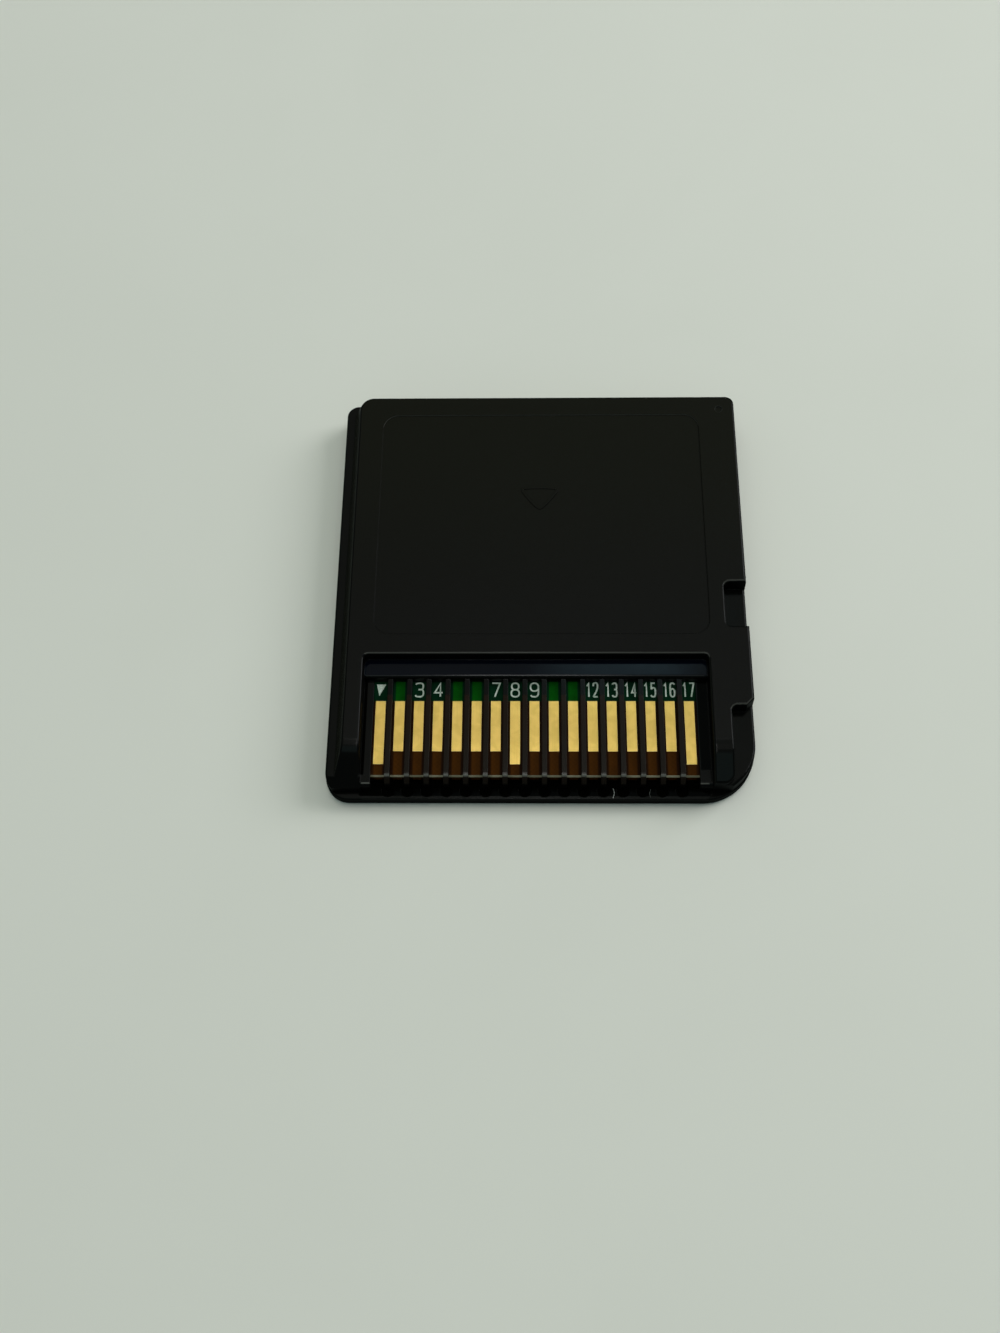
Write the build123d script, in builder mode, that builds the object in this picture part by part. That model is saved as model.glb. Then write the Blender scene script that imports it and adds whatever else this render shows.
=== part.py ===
"""Handheld game card: two moulded shells closed around a circuit board, contact side up.

X runs across the card, Y from the contact edge (-Y) to the grip edge (+Y), Z up through the thickness.
The origin is under the middle of the card, on the face that carries the label. All sizes are in millimetres.
"""
import os

from build123d import *

# Contact field: pads on the board, and the slots that open over them
pad_count = 17
pad_pitch = 1.5
pad_width = 0.77
pad_thickness = 0.04
short_pad_length = 4.15
long_pad_length = 5.2
long_pad_numbers = (1, 8, 17)
slot_width = 1.1
slot_to_pad = 1.65
left_strip = 0.75
right_strip = 0.95

# Card outline, set out from the contact field and the contact edge
left_border = 2.75
right_border = 3.45
card_length = 35.0
window_length = 11.0
back_left_radius = 1.1
back_right_radius = 0.8
front_left_radius = 1.8
front_right_radius = 4.1
least_corner = 0.2
seam_inset = 0.1
pick_range = 0.01

# Thickness, stacked from the label face up
front_floor = 0.8
board_standoff = 0.3
board_thickness = 0.8
board_rise = 0.7
rib_gap = 0.02
rib_thickness = 0.55
plateau_height = 1.3
roof_thickness = 0.7

# Plateau of the rear shell, with the key notches on its right side
left_ledge = 0.7
left_lean = 0.6
plateau_draft = 0.05
plateau_corner = 1.2
notch_from_front = 13.5
notch_length = 3.75
notch_depth = 1.8
notch_corner = 0.4
step_from_front = 6.7
step_depth = 1.75
step_chamfer = 0.6
lead_in_length = 3.2
left_nose_setback = 0.65
left_nose_wall = 0.75
right_nose_setback = 0.75
right_nose_wall = 0.5
right_nose_corner = 0.8
edge_round = 0.2
lead_in_round = 2.5

# Contact window
ledge_depth = 1.55
ledge_rise = 0.25
ledge_round = 0.25
window_corner = 0.4
rib_nose_setback = 1.0
rib_nose_round = 0.75
strip_nose_setback = 0.75
strip_nose_round = 0.35
strip_drop = 0.35

# Shallow panel and gate mark on the plateau
panel_to_window = 1.75
panel_back_margin = 1.85
panel_left_margin = 2.0
panel_right_margin = 3.1
panel_corner = 1.3
panel_depth = 0.08
gate_radius = 0.3
gate_depth = 0.1
gate_from_right = 1.35
gate_from_back = 1.35

# Front shell
rim_thickness = 0.2
tooth_length = 0.7
scallop_radius = 0.48
lip_ramp = 0.95
rim_chamfer = 0.08
foot_round = 0.35
label_margin = 2.0
label_front_margin = 3.8
label_corner = 1.5
label_depth = 0.12
arrow_width = 2.4
arrow_length = 1.5
arrow_depth = 0.1
standoff_width = 1.2
standoff_inset = 2.4

# Seam: a tongue on the front shell in a groove of the rear shell
tongue_inset = 0.75
tongue_width = 0.4
tongue_height = 0.45
groove_clearance = 0.05

# Board and the two posts that locate it
board_overlap = 0.4
board_setback = 1.6
board_back_margin = 2.3
board_clearance = 0.1
board_corner = 0.5
board_bevel = 0.1
mask_thickness = 0.03
mask_margin = 0.2
post_radius = 0.8
post_engagement = 0.75
post_tip_clearance = 0.1
post_inset = 2.8
post_hole_clearance = 0.1
boss_wall = 0.7

# Room for the chips under the plateau
chip_room_margin = 0.4
chip_room_front_wall = 1.05
chip_room_corner = 0.8

# Chips, set out from the ends of the window and from the chip room's front wall
die_width = 5.2
die_length = 4.6
die_height = 0.3
cap_width = 11.5
cap_length = 10.5
cap_height = 0.9
cap_taper = 35
cap_corner = 2.5
cap_chamfer = 0.4
cap_from_left = 9.2
save_from_right = 6.5
save_width = 4.4
save_length = 3.0
save_height = 0.85
save_standoff = 0.08
lead_count = 4
lead_pitch = 0.65
lead_width = 0.25
lead_thickness = 0.13
lead_foot = 0.6
lead_reach = 1.0
lead_shoulder = 0.42
passive_row = 2.2
capacitor_length = 1.6
capacitor_width = 0.8
capacitor_height = 0.75
capacitor_end = 0.3
capacitor_places = (-7.5, 5.2, 8.4)
resistor_length = 1.0
resistor_width = 0.5
resistor_height = 0.35
resistor_end = 0.2
resistor_places = (-0.6, 1.8)
end_cap_wall = 0.05

# Heights worked out from the stack
board_bottom = front_floor + board_standoff
board_top = board_bottom + board_thickness
parting_height = board_top - board_rise
mask_top = board_top + mask_thickness
rib_bottom = mask_top + rib_gap
flange_height = rib_bottom + rib_thickness
card_thickness = flange_height + plateau_height
ceiling = card_thickness - roof_thickness
post_top = rib_bottom + post_engagement
clear_above = plateau_height

# Places across the card
field_width = (pad_count - 1) * pad_pitch + slot_width
window_width = left_strip + field_width + right_strip
card_width = left_border + window_width + right_border
card_right = card_width / 2
window_left = left_border - card_right
window_right = window_left + window_width
window_middle = (window_left + window_right) / 2
first_pad = window_left + left_strip + slot_width / 2
shell_right = card_right - seam_inset
plateau_left = left_ledge - shell_right
nose_right = shell_right - step_depth
board_width = window_width + 2 * board_overlap
board_left = window_left - board_overlap
board_right = window_right + board_overlap

# Places along the card
card_front = -card_length / 2
card_back = card_length / 2
shell_back = card_back - seam_inset
window_back = card_front + window_length
slot_back = window_back - ledge_depth
pad_back = slot_back - slot_to_pad
board_front = card_front + board_setback
board_back = card_back - board_back_margin
board_length = board_back - board_front
board_middle = (board_front + board_back) / 2
bed_front = board_front - board_clearance

# Room for the chips, which the board's edge bounds on three sides
room_front = window_back + chip_room_front_wall
room_length = board_back - chip_room_margin - room_front
room_width = board_width - 2 * chip_room_margin
room_middle = room_front + room_length / 2
passive_line = room_front + passive_row
post_y = board_back - post_inset
post_places = [(board_left + post_inset, post_y), (board_right - post_inset, post_y)]

os.makedirs("parts", exist_ok=True)


def pad_x(number):
    """Middle of a pad, counted from 1 at the left."""
    return first_pad + (number - 1) * pad_pitch


def card_outline(inset):
    """Outline of the card with its four different corners, drawn in by an inset."""
    right = card_right - inset
    back = card_back - inset
    corners = {
        (-right, back): back_left_radius,
        (right, back): back_right_radius,
        (right, -back): front_right_radius,
        (-right, -back): front_left_radius,
    }
    with BuildSketch() as outline:
        Rectangle(2 * right, 2 * back)
        for corner, radius in corners.items():
            fillet(outline.vertices().sort_by_distance(corner)[0], max(radius - inset, least_corner))
    return outline.sketch


def plateau_outline(draft, lean):
    """Outline of the plateau with its key notch and front step, drawn in by a draft and by the left lean."""
    left = plateau_left + lean
    right = shell_right - draft
    back = shell_back - draft
    notch_right = shell_right - notch_depth
    notch_front = card_front + notch_from_front - draft
    notch_back = card_front + notch_from_front + notch_length + draft
    step_right = nose_right - draft
    step_back = card_front + step_from_front + draft
    left_front = card_front + left_nose_setback
    right_front = card_front + right_nose_setback + draft
    with BuildSketch() as outline:
        with BuildLine():
            Polyline(
                (left, back), (right, back), (right, notch_back), (notch_right, notch_back),
                (notch_right, notch_front), (right, notch_front), (right, step_back + step_chamfer),
                (right - step_chamfer, step_back), (step_right, step_back), (step_right, right_front),
                (window_middle, right_front), (window_middle, left_front), (left, left_front), close=True,
            )
        make_face()
        rounds = {
            (left, back): plateau_corner,
            (right, back): back_right_radius - seam_inset,
            (notch_right, notch_back): notch_corner,
            (notch_right, notch_front): notch_corner,
            (step_right, step_back): notch_corner,
            (step_right, right_front): right_nose_corner,
        }
        for corner, radius in rounds.items():
            fillet(outline.vertices().sort_by_distance(corner)[0], radius)
    return outline.sketch


def board_outline(clearance):
    """Outline of the board, let out by a clearance."""
    with BuildSketch() as outline:
        width = board_width + 2 * clearance
        length = board_length + 2 * clearance
        with Locations((window_middle, board_middle)):
            RectangleRounded(width, length, board_corner + clearance)
    return outline.sketch


def edges_across(part, place):
    """Edges of a part that run along X at one place along the card."""
    across = part.edges().filter_by(Axis.X)
    return across.filter_by_position(Axis.Y, place - pick_range, place + pick_range)


def seam_band(clearance):
    """Band that the tongue follows round the back and sides, let out by a clearance."""
    with BuildSketch() as band:
        add(card_outline(tongue_inset - clearance))
        add(card_outline(tongue_inset + tongue_width + clearance), mode=Mode.SUBTRACT)
        with Locations((0, window_back - clearance)):
            Rectangle(card_width, card_length, align=(Align.CENTER, Align.MAX), mode=Mode.SUBTRACT)
    return band.sketch


with BuildPart() as front_shell:
    with BuildSketch():
        add(card_outline(0))
    extrude(amount=parting_height)
    fillet(front_shell.faces().sort_by(Axis.Z)[0].edges(), foot_round)
    chamfer(front_shell.faces().sort_by(Axis.Z)[-1].edges(), rim_chamfer)
    with BuildSketch(Plane.XY.offset(front_floor)):
        tray_front = card_front + rim_thickness
        tray_length = board_back + board_clearance - tray_front
        tray_width = board_width + 2 * board_clearance
        with Locations((window_middle, tray_front)):
            Rectangle(tray_width, tray_length, align=(Align.CENTER, Align.MIN))
    extrude(amount=parting_height - front_floor, mode=Mode.SUBTRACT)
    # Ramp behind the lip, and teeth on the lip with round pockets that clear the noses of the ribs
    with BuildSketch(Plane.YZ.offset(window_middle - tray_width / 2)):
        with BuildLine():
            Polyline(
                (tray_front, front_floor), (tray_front, parting_height),
                (tray_front + lip_ramp, front_floor), close=True,
            )
        make_face()
    extrude(amount=tray_width)
    scallop_row = tray_front + scallop_radius
    scallops = [(pad_x(number) + pad_pitch / 2, scallop_row) for number in range(1, pad_count)]
    with BuildSketch(Plane.XY.offset(front_floor)):
        with Locations((window_middle, tray_front)):
            Rectangle(tray_width, tooth_length, align=(Align.CENTER, Align.MIN))
        with Locations(*scallops):
            Circle(scallop_radius, mode=Mode.SUBTRACT)
            Rectangle(
                2 * scallop_radius, tooth_length, align=(Align.CENTER, Align.MIN), mode=Mode.SUBTRACT
            )
    extrude(amount=parting_height - front_floor)
    with BuildSketch(Plane.XY.offset(front_floor)):
        standoff_spread = board_width - 2 * standoff_inset
        with GridLocations(standoff_spread / 2, board_length, 3, 1):
            with Locations((window_middle, board_middle)):
                Rectangle(standoff_width, board_length)
    extrude(amount=board_standoff)
    with BuildSketch(Plane.XY.offset(front_floor)):
        with Locations(*post_places):
            Circle(post_radius)
    extrude(amount=post_top - front_floor)
    with BuildSketch(Plane.XY.offset(parting_height)):
        add(seam_band(0))
    extrude(amount=tongue_height)
    with BuildSketch():
        label_front = card_front + label_front_margin
        label_length = card_back - label_margin - label_front
        with Locations((0, label_front + label_length / 2)):
            RectangleRounded(card_width - 2 * label_margin, label_length, label_corner)
    extrude(amount=label_depth, mode=Mode.SUBTRACT)
    with BuildSketch():
        arrow_tip = card_front + (label_front_margin - arrow_length) / 2
        with BuildLine():
            Polyline(
                (0, arrow_tip), (arrow_width / 2, arrow_tip + arrow_length),
                (-arrow_width / 2, arrow_tip + arrow_length), close=True,
            )
        make_face()
    extrude(amount=arrow_depth, mode=Mode.SUBTRACT)
front_shell.part.label = "front_shell"
export_step(front_shell.part, "parts/front_shell.step")


with BuildPart() as rear_shell:
    with BuildSketch(Plane.XY.offset(parting_height)):
        add(card_outline(seam_inset))
    extrude(amount=flange_height - parting_height)
    fillet(rear_shell.faces().sort_by(Axis.Z)[-1].edges(), edge_round)
    with BuildSketch(Plane.XY.offset(parting_height)):
        add(plateau_outline(0, 0))
    extrude(amount=flange_height - parting_height)
    with BuildSketch(Plane.XY.offset(flange_height)):
        add(plateau_outline(0, 0))
    with BuildSketch(Plane.XY.offset(card_thickness)):
        add(plateau_outline(plateau_draft, left_lean))
    loft(ruled=True)
    # Contact window, open towards the contact edge
    with BuildSketch(Plane.XY.offset(flange_height)) as window:
        with Locations((window_middle, window_back)):
            Rectangle(window_width, card_length, align=(Align.CENTER, Align.MAX))
        fillet(window.vertices().group_by(Axis.Y)[-1], window_corner)
    extrude(amount=plateau_height + clear_above, mode=Mode.SUBTRACT)
    # Lead-in slopes of the two noses beside the window
    slope_start = card_front + lead_in_length
    noses = (
        (-card_right, window_left, card_front + left_nose_setback, parting_height + left_nose_wall),
        (window_right, card_right, card_front + right_nose_setback, flange_height + right_nose_wall),
    )
    for start_x, end_x, slope_end, slope_foot in noses:
        with BuildSketch(Plane.YZ.offset(start_x)):
            with BuildLine():
                Polyline(
                    (slope_start, card_thickness), (slope_end, slope_foot), (card_front, slope_foot),
                    (card_front, card_thickness + clear_above), (slope_start, card_thickness + clear_above),
                    close=True,
                )
            make_face()
        extrude(amount=end_x - start_x, mode=Mode.SUBTRACT)
    fillet(edges_across(rear_shell, slope_start), lead_in_round)
    fillet(rear_shell.faces().sort_by(Axis.Z)[-1].edges(), edge_round)
    # Upright fronts of the noses, set back behind the lip
    with BuildSketch(Plane.XY.offset(parting_height)):
        with Locations((-card_right, card_front)):
            Rectangle(window_left + card_right, left_nose_setback, align=(Align.MIN, Align.MIN))
        with Locations((window_right, card_front)):
            Rectangle(nose_right - window_right, right_nose_setback, align=(Align.MIN, Align.MIN))
    extrude(amount=flange_height - parting_height, mode=Mode.SUBTRACT)
    # Shallow panel and gate mark
    with BuildSketch(Plane.XY.offset(card_thickness)):
        panel_left = plateau_left + left_lean + panel_left_margin
        panel_right = shell_right - panel_right_margin
        panel_front = window_back + panel_to_window
        panel_back = shell_back - panel_back_margin
        with Locations(((panel_left + panel_right) / 2, (panel_front + panel_back) / 2)):
            RectangleRounded(panel_right - panel_left, panel_back - panel_front, panel_corner)
    extrude(amount=-panel_depth, mode=Mode.SUBTRACT)
    with BuildSketch(Plane.XY.offset(card_thickness)):
        with Locations((shell_right - gate_from_right, shell_back - gate_from_back)):
            Circle(gate_radius)
    extrude(amount=-gate_depth, mode=Mode.SUBTRACT)
    # Underside: bed for the board, room for the chips, bosses for the posts and the groove of the seam
    with BuildSketch(Plane.XY.offset(parting_height)):
        add(board_outline(board_clearance))
    extrude(amount=rib_bottom - parting_height, mode=Mode.SUBTRACT)
    with BuildSketch(Plane.XY.offset(rib_bottom)):
        with Locations((window_middle, room_middle)):
            RectangleRounded(room_width, room_length, chip_room_corner)
    extrude(amount=ceiling - rib_bottom, mode=Mode.SUBTRACT)
    socket_radius = post_radius + post_hole_clearance
    with BuildSketch(Plane.XY.offset(rib_bottom)):
        with Locations(*post_places):
            Circle(socket_radius + boss_wall)
    extrude(amount=ceiling - rib_bottom)
    with BuildSketch(Plane.XY.offset(rib_bottom)):
        with Locations(*post_places):
            Circle(socket_radius)
    extrude(amount=post_engagement + post_tip_clearance, mode=Mode.SUBTRACT)
    with BuildSketch(Plane.XY.offset(parting_height)):
        add(seam_band(groove_clearance))
    extrude(amount=tongue_height + groove_clearance, mode=Mode.SUBTRACT)
    # A ledge along the back of the window, then the opening over the contact field, which ribs with rounded
    # noses cross between the pads
    with BuildSketch(Plane.XY.offset(flange_height)):
        with Locations((window_middle, slot_back)):
            Rectangle(window_width, ledge_depth, align=(Align.CENTER, Align.MIN))
    extrude(amount=ledge_rise)
    with BuildSketch(Plane.XY.offset(parting_height)):
        with Locations((window_middle, slot_back)):
            Rectangle(window_width, slot_back - card_front, align=(Align.CENTER, Align.MAX))
    extrude(amount=flange_height - parting_height, mode=Mode.SUBTRACT)
    fillet(edges_across(rear_shell, slot_back).sort_by(Axis.Z)[-1], ledge_round)
    rib_back = slot_back + ledge_depth / 2
    rib_width = pad_pitch - slot_width
    rib_starts = [pad_x(number) + slot_width / 2 for number in range(1, pad_count)]
    rib_nose = card_front + rib_nose_setback
    strip_nose = card_front + strip_nose_setback
    strip_top = flange_height - strip_drop
    ribs = [(start, rib_width, rib_nose, flange_height, rib_nose_round) for start in rib_starts]
    strips = [
        (window_left, left_strip, strip_nose, strip_top, strip_nose_round),
        (window_right - right_strip, right_strip, strip_nose, strip_top, strip_nose_round),
    ]
    for rib_left, width, nose, top, nose_round in ribs + strips:
        with BuildSketch(Plane.YZ.offset(rib_left)) as rib_side:
            with BuildLine():
                Polyline(
                    (rib_back, rib_bottom), (rib_back, top), (nose, top), (nose, parting_height),
                    (bed_front, parting_height), (bed_front, rib_bottom), close=True,
                )
            make_face()
            fillet(rib_side.vertices().sort_by_distance((nose, top))[0], nose_round)
        extrude(amount=width)
rear_shell.part.label = "rear_shell"
export_step(rear_shell.part, "parts/rear_shell.step")


with BuildPart() as circuit_board:
    with BuildSketch(Plane.XY.offset(board_bottom)):
        add(board_outline(0))
        with Locations(*post_places):
            Circle(post_radius + post_hole_clearance, mode=Mode.SUBTRACT)
    extrude(amount=board_thickness)
    contact_edges = circuit_board.edges().filter_by(Axis.X).group_by(Axis.Y)[0]
    chamfer(contact_edges, board_bevel)
circuit_board.part.label = "circuit_board"
export_step(circuit_board.part, "parts/circuit_board.step")


with BuildPart() as solder_mask:
    with BuildSketch(Plane.XY.offset(board_top)):
        mask_back = board_back - mask_margin
        with Locations((window_middle, pad_back)):
            Rectangle(board_width - 2 * mask_margin, mask_back - pad_back, align=(Align.CENTER, Align.MIN))
        with Locations(*post_places):
            Circle(post_radius + post_hole_clearance + mask_margin, mode=Mode.SUBTRACT)
    extrude(amount=mask_thickness)
solder_mask.part.label = "solder_mask"
export_step(solder_mask.part, "parts/solder_mask.step")


for number in range(1, pad_count + 1):
    pad_length = long_pad_length if number in long_pad_numbers else short_pad_length
    with BuildPart() as contact_pad:
        with BuildSketch(Plane.XY.offset(board_top)):
            with Locations((pad_x(number), pad_back)):
                Rectangle(pad_width, pad_length, align=(Align.CENTER, Align.MAX))
        extrude(amount=pad_thickness)
    contact_pad.part.label = f"contact_pad_{number:02d}"
    export_step(contact_pad.part, f"parts/contact_pad_{number:02d}.step")


cap_x = window_left + cap_from_left
with BuildPart() as rom_die:
    with BuildSketch(Plane.XY.offset(mask_top)):
        with Locations((cap_x, room_middle)):
            Rectangle(die_width, die_length)
    extrude(amount=die_height)
rom_die.part.label = "rom_die"
export_step(rom_die.part, "parts/rom_die.step")


with BuildPart() as rom_epoxy_cap:
    with BuildSketch(Plane.XY.offset(mask_top)):
        with Locations((cap_x, room_middle)):
            RectangleRounded(cap_width, cap_length, cap_corner)
    extrude(amount=cap_height, taper=cap_taper)
    chamfer(rom_epoxy_cap.faces().sort_by(Axis.Z)[-1].edges(), cap_chamfer)
    with BuildSketch(Plane.XY.offset(mask_top)):
        with Locations((cap_x, room_middle)):
            Rectangle(die_width, die_length)
    extrude(amount=die_height, mode=Mode.SUBTRACT)
rom_epoxy_cap.part.label = "rom_epoxy_cap"
export_step(rom_epoxy_cap.part, "parts/rom_epoxy_cap.step")


save_x = window_right - save_from_right
save_bottom = mask_top + save_standoff
with BuildPart() as save_chip_body:
    with BuildSketch(Plane.XY.offset(save_bottom)):
        with Locations((save_x, room_middle)):
            Rectangle(save_width, save_length)
    extrude(amount=save_height)
    chamfer(save_chip_body.faces().sort_by(Axis.Z)[-1].edges(), edge_round)
save_chip_body.part.label = "save_chip_body"
export_step(save_chip_body.part, "parts/save_chip_body.step")


with BuildPart() as save_chip_leads:
    lead_rise = save_standoff + lead_shoulder
    for number in range(lead_count):
        lead_y = room_middle + (number - (lead_count - 1) / 2) * lead_pitch
        for side in (-1, 1):
            root_x = save_x + side * save_width / 2
            knee_x = root_x + side * (lead_reach - lead_foot)
            tip_x = root_x + side * lead_reach
            back_x = knee_x - side * lead_thickness
            foot_top = mask_top + lead_thickness
            shoulder = mask_top + lead_rise
            with BuildSketch(Plane.XZ.offset(-lead_y - lead_width / 2)):
                with BuildLine():
                    Polyline(
                        (root_x, shoulder), (knee_x, shoulder), (knee_x, foot_top), (tip_x, foot_top),
                        (tip_x, mask_top), (back_x, mask_top), (back_x, shoulder - lead_thickness),
                        (root_x, shoulder - lead_thickness), close=True,
                    )
                make_face()
            extrude(amount=lead_width)
save_chip_leads.part.label = "save_chip_leads"
export_step(save_chip_leads.part, "parts/save_chip_leads.step")


def chip_body(places, length, width, height, name):
    """Ceramic bodies of a row of chip parts, each a node of its own, standing inside their end caps."""
    for number, offset_x in enumerate(places, start=1):
        with BuildPart() as body:
            with BuildSketch(Plane.XY.offset(mask_top + end_cap_wall)):
                with Locations((window_middle + offset_x, passive_line)):
                    Rectangle(length - 2 * end_cap_wall, width - 2 * end_cap_wall)
            extrude(amount=height - 2 * end_cap_wall)
        body.part.label = f"{name}_{number}"
        export_step(body.part, f"parts/{name}_{number}.step")


chip_body(capacitor_places, capacitor_length, capacitor_width, capacitor_height, "capacitor")
chip_body(resistor_places, resistor_length, resistor_width, resistor_height, "resistor")


with BuildPart() as chip_end_caps:
    rows = (
        (capacitor_places, capacitor_length, capacitor_width, capacitor_height, capacitor_end),
        (resistor_places, resistor_length, resistor_width, resistor_height, resistor_end),
    )
    for places, length, width, height, end in rows:
        middles = [(window_middle + offset_x, passive_line) for offset_x in places]
        with BuildSketch(Plane.XY.offset(mask_top)):
            with Locations(*middles):
                Rectangle(length, width)
                Rectangle(length - 2 * end, width, mode=Mode.SUBTRACT)
        extrude(amount=height)
        with BuildSketch(Plane.XY.offset(mask_top + end_cap_wall)):
            with Locations(*middles):
                Rectangle(length - 2 * end_cap_wall, width - 2 * end_cap_wall)
        extrude(amount=height - 2 * end_cap_wall, mode=Mode.SUBTRACT)
chip_end_caps.part.label = "chip_end_caps"
export_step(chip_end_caps.part, "parts/chip_end_caps.step")
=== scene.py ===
# %% [markdown]
# # A handheld game card, contact side up
#
# The object is a small moulded card: two black plastic shells closed around a circuit board. A window in
# the upper shell shows the gold contact pads between moulded ribs. The solids come ready from CAD, so this
# lesson gives every piece its finish, adds the fine printed marks, and lights and frames the card for a
# product picture.

import math

import bmesh
import bpy
import numpy as np
from mathutils import Matrix, Vector


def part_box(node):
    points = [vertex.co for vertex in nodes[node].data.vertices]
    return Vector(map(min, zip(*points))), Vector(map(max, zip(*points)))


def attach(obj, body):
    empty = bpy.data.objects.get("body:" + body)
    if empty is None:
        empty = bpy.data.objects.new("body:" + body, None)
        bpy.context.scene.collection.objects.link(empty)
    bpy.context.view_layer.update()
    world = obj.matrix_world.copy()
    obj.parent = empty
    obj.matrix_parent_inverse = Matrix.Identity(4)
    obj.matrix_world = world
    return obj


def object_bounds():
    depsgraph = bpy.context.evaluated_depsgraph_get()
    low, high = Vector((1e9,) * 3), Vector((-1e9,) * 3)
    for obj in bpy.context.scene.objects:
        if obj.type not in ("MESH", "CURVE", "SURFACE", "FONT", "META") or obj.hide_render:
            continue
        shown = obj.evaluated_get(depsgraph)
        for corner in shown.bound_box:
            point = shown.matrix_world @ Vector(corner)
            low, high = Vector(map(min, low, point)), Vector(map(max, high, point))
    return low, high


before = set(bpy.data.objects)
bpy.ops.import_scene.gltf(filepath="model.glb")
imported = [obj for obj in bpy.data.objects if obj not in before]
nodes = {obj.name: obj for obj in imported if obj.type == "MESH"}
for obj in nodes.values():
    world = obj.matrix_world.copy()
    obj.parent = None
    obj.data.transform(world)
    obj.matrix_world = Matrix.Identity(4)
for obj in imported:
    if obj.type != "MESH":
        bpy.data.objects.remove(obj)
cad_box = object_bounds()
mm = 0.001
print("nodes:", len(nodes), "card in mm:", [round(side / mm, 2) for side in cad_box[1] - cad_box[0]])

# %% [markdown]
# ## Places to work from
#
# Patterns and marks have to sit on real features, so their places are read from the frame: the pads give
# the pitch of the contact field, and the solder mask gives the height that the print lies on. Only what no
# single node tells, such as the window's border beside the first pad, is a named size here.

# %% Read the contact field
pad_names = sorted(name for name in nodes if name.startswith("contact_pad_"))
pad_boxes = np.array([[list(corner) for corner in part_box(name)] for name in pad_names])
pad_x = pad_boxes[:, :, 0].mean(axis=1)
pad_pitch = pad_x[1] - pad_x[0]
pad_back = pad_boxes[0, 1, 1]
mask_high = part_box("solder_mask")[1]
board_low, board_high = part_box("circuit_board")
rear_low, rear_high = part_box("rear_shell")
print("pads:", len(pad_names), "pitch in mm:", round(pad_pitch / mm, 3))

# %% [markdown]
# Some finishes hold only in a part of a shell. Each such part is a box in the card's own frame, given by
# its lowest and its highest corner. A painted mask would need an image and a layout of the surface, while
# a box takes six numbers and stays in step with the solids.

# %% Box the window's ledge and the panel
window_side_margin = 1.4 * mm
slot_length_behind_pads = 1.65 * mm
ledge_depth = 1.55 * mm
slot_back = pad_back + slot_length_behind_pads
ledge_back = slot_back + ledge_depth
ledge_low = Vector((pad_x[0] - window_side_margin, slot_back, mask_high.z))
ledge_high = Vector((pad_x[-1] + window_side_margin, ledge_back, rear_high.z))

panel_depth = 0.08 * mm
panel_floor = rear_high.z - panel_depth
panel_left_margin = 3.0 * mm
panel_right_margin = 2.8 * mm
panel_front_margin = 1.5 * mm
panel_back_margin = 1.6 * mm
panel_low = Vector((rear_low.x + panel_left_margin, ledge_back + panel_front_margin, cad_box[0].z))
panel_high = Vector((rear_high.x - panel_right_margin, rear_high.y - panel_back_margin, cad_box[1].z))

far_wall_margin = 1.85 * mm
far_corner_reach = 1.5 * mm
far_wall_slack = 0.15 * mm
far_floor_slack = 0.05 * mm
far_wall_y = rear_high.y - far_wall_margin
far_wall_low = Vector((panel_low.x, far_wall_y - far_corner_reach, panel_floor - far_floor_slack))
far_wall_high = Vector((panel_high.x, far_wall_y + far_wall_slack, cad_box[1].z))
print("ledge in mm:", [round(side / mm, 2) for side in ledge_high - ledge_low])

# %% Box the noses, the tray and the ribs
nose_slope_length = 4.1 * mm
nose_slope_back = cad_box[0].y + nose_slope_length
lip_thickness = 0.2 * mm
lip_back = cad_box[0].y + lip_thickness
tray_clearance = 0.15 * mm
tray_low = Vector((board_low.x - tray_clearance, lip_back, cad_box[0].z))
tray_high = Vector((board_high.x + tray_clearance, board_high.y, rear_low.z))

nose_wall = 0.2 * mm
between_low = Vector((ledge_low.x + nose_wall, *cad_box[0].yz))
between_high = Vector((ledge_high.x - nose_wall, *cad_box[1].yz))

strip_below_top = 0.6 * mm
strip_low_z = mask_high.z
strip_high_z = rear_high.z - strip_below_top
rib_side_reach = 0.3 * mm
rib_back_reach = 0.2 * mm
rib_low = Vector((pad_x[0] - rib_side_reach, cad_box[0].y, strip_low_z))
rib_high = Vector((pad_x[-1] + rib_side_reach, pad_back + rib_back_reach, strip_high_z))
print("noses slope over mm:", round(nose_slope_length / mm, 2))

# %% Box the shaded places around the slots
left_strip_start = 0.1 * mm
left_strip_width = 0.32 * mm
right_strip_start = 0.5 * mm
slot_side_margin = 0.65 * mm
tooth_reach = 0.3 * mm
within_floor = 0.4 * mm
shaded_places = (
    (Vector((ledge_low.x, board_low.y + left_strip_start, strip_low_z)),
     Vector((ledge_low.x + left_strip_width, slot_back, strip_high_z))),
    (Vector((pad_x[-1] + slot_side_margin, board_low.y + right_strip_start, strip_low_z)),
     Vector((ledge_high.x, slot_back, strip_high_z))),
    (Vector((ledge_low.x, cad_box[0].y + tooth_reach, cad_box[0].z + within_floor)),
     Vector((ledge_high.x, board_low.y, rear_low.z))),
)
print("shaded places:", len(shaded_places))

# %% [markdown]
# ## Helpers for node trees
#
# A procedural material is a small network. A few helpers keep each network readable. One adds a node, two
# do arithmetic on numbers and on vectors, one mixes two colours and one makes a smooth step. Each takes
# plain values or other nodes' outputs, so a formula can be written almost as it would be on paper. Two more
# open a node group with named sockets and place it in a material.

# %% Node helpers
def feed(tree, socket, value):
    """Link the socket if the value is another node's output, and set it otherwise."""
    if isinstance(value, bpy.types.NodeSocket):
        tree.links.new(value, socket)
    else:
        socket.default_value = value


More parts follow.
